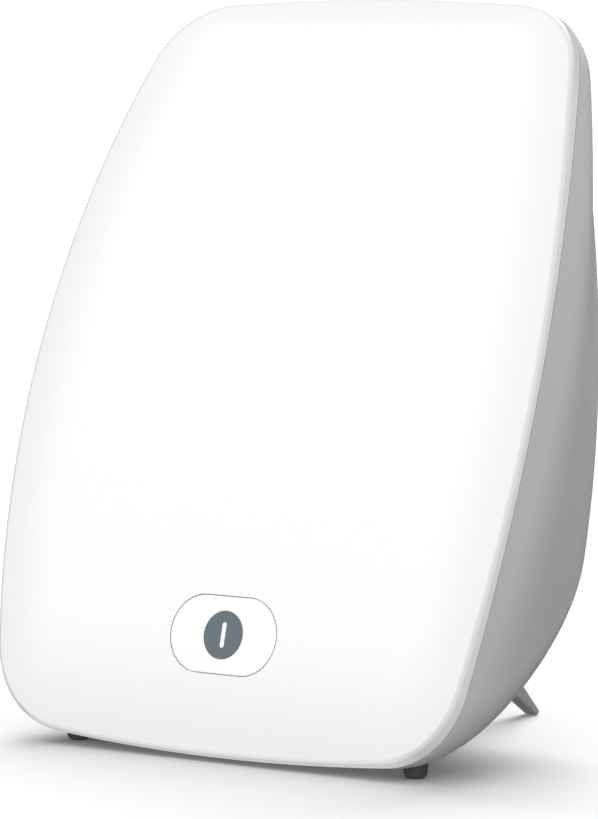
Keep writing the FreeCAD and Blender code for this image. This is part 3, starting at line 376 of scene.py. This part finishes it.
# Powder coat is white and very even, with the slight orange peel of melted powder.
dress(moulded("powder_coat_white", "#efefec", rough=0.55, grain_mm=1.6, grain_depth=0.2), "reflector")

# The tubes are glass with white phosphor inside: flat white under a smooth clear shine.
dress(moulded("glass_phosphor_white", "#f6f7f7", rough=0.12, grain_mm=3.0, grain_depth=0.01),
      "lamp_left", "lamp_right")

# %% [markdown]
# ## The floor
#
# The lamp stands on a wide white floor. A curved sheet that rises behind it would hide the horizon. Here the
# room behind the floor is white too, so a plain plane does, far larger than the view. A white floor also sends
# light up under the lamp and makes the dark undersides pale. So it is hidden from the bounced light, and stays
# in view.

# %% Floor
floor_width = 120.0  # metres
floor_drop = 0.0002  # a hair below the feet, so that the two surfaces never share one plane
fibre_mm = 2.0       # the paper's fibres

bpy.ops.object.select_all(action="DESELECT")
bpy.ops.mesh.primitive_plane_add(size=floor_width, location=(0.0, 0.0, -floor_drop))
floor = bpy.context.object
floor.name = "floor"

# Matt white paper: it sends light back evenly and shows only the soft shadow.
paper, tree, shader = new_material("paper_matt_white")
place = node(tree, "ShaderNodeTexCoord").outputs["Object"]
fibre = node(tree, "ShaderNodeTexNoise", Vector=place, Scale=per_metre / fibre_mm)
sheen = node(tree, "ShaderNodeMapRange", Value=fibre.outputs["Fac"], To_Min=0.85, To_Max=0.95)
tree.links.new(sheen.outputs["Result"], shader.inputs["Roughness"])
shader.inputs["Base Color"].default_value = linear("#f0f0f0")
shader.inputs["Specular IOR Level"].default_value = 0.1
floor.data.materials.append(paper)
floor.visible_diffuse = False
floor.visible_glossy = False
print("the floor is", round(floor.dimensions.x), "m wide")

# %% [markdown]
# ## The light
#
# The light is a bright room and one large soft light. Square area lights would leave hard edges in the shine.
# So the room is one smooth change of brightness instead: brightest towards a window at the front right, fading
# evenly to the far side, and dimmer below the table's level. The form then reads by a slow change of tone. The
# soft light is high behind. It hardly touches the face or the right side, but it makes the floor white and
# leaves a soft shadow in front, which stands the lamp on the floor. A light of the sun kind does this best: it
# lights near and far floor alike, and its wide angle blurs the shadow as a big diffuser does.

# %% The room
window = Vector((0.45, -0.83, 0.25)).normalized()  # the way to the window, from the lamp
far_side = -0.7      # where the room has faded to nothing: the window is at 1, and its opposite at -1
window_light = 1.27
low_light = 0.5      # the share of the light that is left below the table's level
seen_white = 1.05    # what the camera sees of the room, just past white

studio = bpy.context.scene.world or bpy.data.worlds.new("studio")
bpy.context.scene.world = studio
studio.use_nodes = True
backdrop = studio.node_tree.nodes["Background"]
backdrop.inputs["Color"].default_value = white
tree = studio.node_tree
outwards = node(tree, "ShaderNodeTexCoord").outputs["Generated"]
towards = node(tree, "ShaderNodeVectorMath", {"operation": "DOT_PRODUCT"}, _0=outwards, _1=window)
room = node(tree, "ShaderNodeMapRange", Value=towards.outputs["Value"],
            From_Min=far_side, To_Min=0.0, To_Max=window_light).outputs[0]

# a direction's rise is 0 at the horizon and -1 straight down
rise = node(tree, "ShaderNodeSeparateXYZ", Vector=outwards).outputs["Z"]
dim = node(tree, "ShaderNodeMapRange", Value=rise,
           From_Min=-0.5, From_Max=0.1, To_Min=low_light, To_Max=1.0).outputs[0]
room = node(tree, "ShaderNodeMath", {"operation": "MULTIPLY"}, _0=room, _1=dim).outputs[0]

# the camera sees plain white instead; between numbers, a Mix node has its two values at inputs 2 and 3
seen = node(tree, "ShaderNodeLightPath").outputs["Is Camera Ray"]
level = node(tree, "ShaderNodeMix", _0=seen, _2=room, _3=seen_white).outputs[0]
tree.links.new(level, backdrop.inputs["Strength"])
print("the window lies", round(math.degrees(math.asin(window.z))), "degrees above the horizon")

# %% The soft light behind
shines_along = Vector((0.36, -0.74, -1.0)).normalized()

sun = bpy.data.lights.new("soft_back_light", "SUN")
sun.energy = 2.6
sun.angle = math.radians(48)  # it comes from a disc of sky as wide as this
back_light = bpy.data.objects.new("soft_back_light", sun)
bpy.context.collection.objects.link(back_light)
back_light.matrix_world = shines_along.to_track_quat("-Z", "Y").to_matrix().to_4x4()
print("the soft light comes down at", round(math.degrees(math.asin(-shines_along.z))), "degrees")
